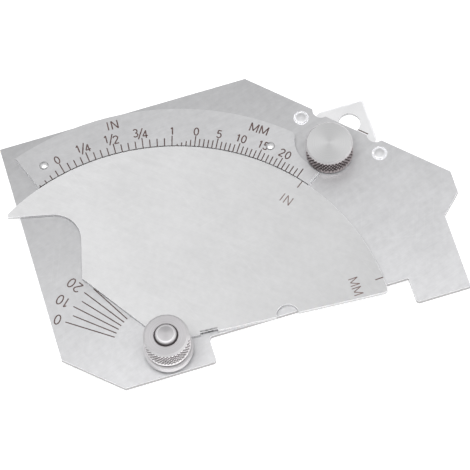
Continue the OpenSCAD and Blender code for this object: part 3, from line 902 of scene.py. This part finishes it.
def stroke_mesh(points, height, width):
    """One engraved stroke as a flat rounded band on z = 0."""
    curve = bpy.data.curves.new("stroke", "CURVE")
    curve.dimensions = "3D"
    curve.bevel_depth = width / 2
    curve.bevel_resolution = 1
    curve.use_fill_caps = True
    closed = (Vector(points[0]) - Vector(points[-1])).length < SAME_POINT
    kept = points[:-1] if closed else points
    spline = curve.splines.new("POLY")
    spline.points.add(len(kept) - 1)
    for point, (x, y) in zip(spline.points, kept):
        point.co = (x * height, y * height, 0, 1)
    spline.use_cyclic_u = closed
    obj = bpy.data.objects.new("stroke", curve)
    mesh = bpy.data.meshes.new_from_object(obj)
    bpy.data.objects.remove(obj)
    bpy.data.curves.remove(curve)
    return mesh


def engrave(bm, text, height, place, width=STROKE_W):
    """Adds a word or number to bm, centred on place, its reading direction along place's X."""
    steps = [ADVANCE.get(c, PLAIN_ADVANCE) * height for c in text]
    x = -sum(steps) / 2
    for letter, step in zip(text, steps):
        for points in (run for stroke in FIGURES[letter] for run in straight_runs(stroke)):
            mesh = stroke_mesh(points, height, width)
            mesh.transform(Matrix.Diagonal((1, 1, 2 * STROKE_PROUD / width, 1)))
            mesh.transform(place @ Matrix.Translation((x + step / 2, 0, 0)))
            bm.from_mesh(mesh)
            bpy.data.meshes.remove(mesh)
        x += step


def engrave_fraction(bm, over, under, height, place):
    """A numerator, a slash and a denominator, set as a stepped fraction."""
    step = FRACTION_STEP * height
    rise = FRACTION_RISE * height
    engrave(bm, over, height, place @ Matrix.Translation((-step, rise, 0)))
    engrave(bm, "/", height, place)
    engrave(bm, under, height, place @ Matrix.Translation((step, -rise, 0)))


def on_dial(angle, radius, z, turn=-90, centre=PIVOT):
    """Place at an angle and radius about a centre, reading at this turn from the way outwards."""
    a = math.radians(angle)
    spot = Vector((centre.x + radius * math.cos(a), centre.y + radius * math.sin(a), z))
    return Matrix.Translation(spot) @ Matrix.Rotation(a + math.radians(turn), 4, "Z")


def dial_angle(height, mark):
    """Direction of the cam's mark when the beak tip stands this high over the feet."""
    return 180 - mark - math.degrees(math.asin((height - PIVOT.y) / TIP_R))


def figure_piece(bm, name, body, mark=ETCHED_LINE):
    bmesh.ops.recalc_face_normals(bm, faces=bm.faces)
    piece(bm, name, body, [mark])


def dial_figures():
    """Millimetres and quarter inches round the scale plate."""
    bm = bmesh.new()
    for reading in DIAL_MM:
        place = on_dial(dial_angle(reading * MM, MM_MARK), FIGURE_R, SCALE_TOP)
        engrave(bm, str(reading), FIGURE_H, place)
    for quarters, figure in enumerate(DIAL_QUARTERS):
        angle = dial_angle(quarters * INCH / 4, INCH_MARK)
        if "/" in figure:
            place = on_dial(angle + FRACTION_TURN, FIGURE_R, SCALE_TOP)
            engrave_fraction(bm, *figure.split("/"), FRACTION_H, place)
        else:
            engrave(bm, figure, FIGURE_H, on_dial(angle, FIGURE_R, SCALE_TOP))
    engrave(bm, "IN", UNIT_H, on_dial(INCH_UNIT, UNIT_R, SCALE_TOP))
    engrave(bm, "MM", UNIT_H, on_dial(MM_UNIT, UNIT_R, SCALE_TOP))
    figure_piece(bm, "dial_figures", "body")


def fan_figures():
    """Degrees round the body's fan, each read outwards from one radius."""
    bm = bmesh.new()
    for reading in FAN_DEGREES:
        figure = str(reading)
        reach = FAN_FIGURE_R + len(figure) * PLAIN_ADVANCE * FAN_FIGURE_H / 2
        place = on_dial(FAN_ZERO - reading, reach, BODY_TOP, turn=0, centre=FAN_CENTRE)
        engrave(bm, figure, FAN_FIGURE_H, place)
    figure_piece(bm, "fan_figures", "body")


def cam_figures():
    """Units beside the cam's two marks."""
    bm = bmesh.new()
    inch_place = on_dial(CAM_REST - INCH_MARK + CAM_INCH_TURN, CAM_INCH_R, CAM_TOP)
    engrave(bm, "IN", UNIT_H, inch_place, CAM_STROKE_W)
    engrave(bm, "MM", UNIT_H, on_dial(CAM_REST - MM_MARK, CAM_MM_R, CAM_TOP), CAM_STROKE_W)
    figure_piece(bm, "cam_figures", "cam", CAM_MARK)


broken_edges("body_plate", "body", BODY_STEEL, BODY_EDGE_SHADED, bright=PALE_BREAK_HIGHLIGHT)
broken_edges("scale_plate", "body", SCALE_STEEL, PALE_EDGE)
broken_edges("cam_plate", "cam", CAM_STEEL, CAM_EDGE, CAM_MARK, PALE_BREAK_HIGHLIGHT)
broken_edges("throat_slide", "slide", SLIDE_STEEL, SLIDE_EDGE, bright=PALE_BREAK_HIGHLIGHT)
broken_edges("guide_bracket", "body", SLIDE_STEEL, PALE_EDGE)
lock_nut()
lock_screw()
pivot_stud()
dial_figures()
fan_figures()
cam_figures()
for node, steel in (("scale_rivets", SCALE_RIVET), ("guide_rivets", GUIDE_RIVET),
                    ("pivot_washer", WASHER_STEEL)):
    mesh = frame["nodes"][node].data
    mesh.materials.clear()
    mesh.materials.append(steel)


# Table, camera and light

def table():
    bm = bmesh.new()
    bmesh.ops.create_grid(bm, x_segments=1, y_segments=1, size=TABLE_REACH)
    bmesh.ops.translate(bm, verts=bm.verts, vec=(0, 0, TABLE_LEVEL))
    obj = mesh_object(bm, "table", [table_paper("table_paper")])


def camera():
    data = bpy.data.cameras.new("camera")
    data.sensor_width = SENSOR_MM
    data.lens = LENS_MM
    data.clip_start = NEAREST
    obj = bpy.data.objects.new("camera", data)
    back = CAMERA_RIGHT.cross(CAMERA_UP)
    turn = Matrix((CAMERA_RIGHT, CAMERA_UP, back)).transposed().to_4x4()
    obj.matrix_world = Matrix.Translation(CAMERA_PLACE) @ turn
    scene.collection.objects.link(obj)
    scene.camera = obj


def softbox(name, place, size, power):
    """A soft light of this width and height, aimed at the middle of the gauge."""
    data = bpy.data.lights.new(name, "AREA")
    data.shape = "RECTANGLE"
    data.size, data.size_y = size
    data.energy = power
    obj = bpy.data.objects.new(name, data)
    obj.location = place
    obj.rotation_euler = (MIDDLE - Vector(place)).to_track_quat("-Z", "Y").to_euler()
    scene.collection.objects.link(obj)


def studio_world():
    """Pale surround, dimmer low down and in front, and dark straight behind. The camera sees white."""
    world = bpy.data.worlds.new("studio")
    scene.world = world
    world.use_nodes = True
    tree = world.node_tree
    tree.nodes.clear()
    _, y, z = axes(tree, tree.nodes.new("ShaderNodeTexCoord").outputs["Generated"])
    height = map_range(tree, z, *SKY_HEIGHT)
    front = map_range(tree, y, *SKY_FRONT)
    back = map_range(tree, y, *SKY_BEHIND)
    surround = tree.nodes.new("ShaderNodeBackground")
    surround.inputs["Color"].default_value = WHITE
    strength = math_node(tree, "MULTIPLY", math_node(tree, "MULTIPLY", height, front), back)
    tree.links.new(strength, surround.inputs["Strength"])
    plain = tree.nodes.new("ShaderNodeBackground")
    plain.inputs["Color"].default_value = WHITE
    mix = tree.nodes.new("ShaderNodeMixShader")
    tree.links.new(tree.nodes.new("ShaderNodeLightPath").outputs["Is Camera Ray"], mix.inputs["Fac"])
    tree.links.new(surround.outputs["Background"], mix.inputs[1])
    tree.links.new(plain.outputs["Background"], mix.inputs[2])
    tree.links.new(mix.outputs["Shader"], tree.nodes.new("ShaderNodeOutputWorld").inputs["Surface"])


table()
camera()
studio_world()
softbox("overhead", place=(-0.025, -0.06, 0.45), size=(0.42, 0.24), power=1.62)
softbox("right", place=(0.6, -0.1, 0.35), size=(0.3, 0.4), power=0.3)
softbox("front_right", place=(0.56, -0.35, 0.22), size=(0.2, 0.2), power=0.5)
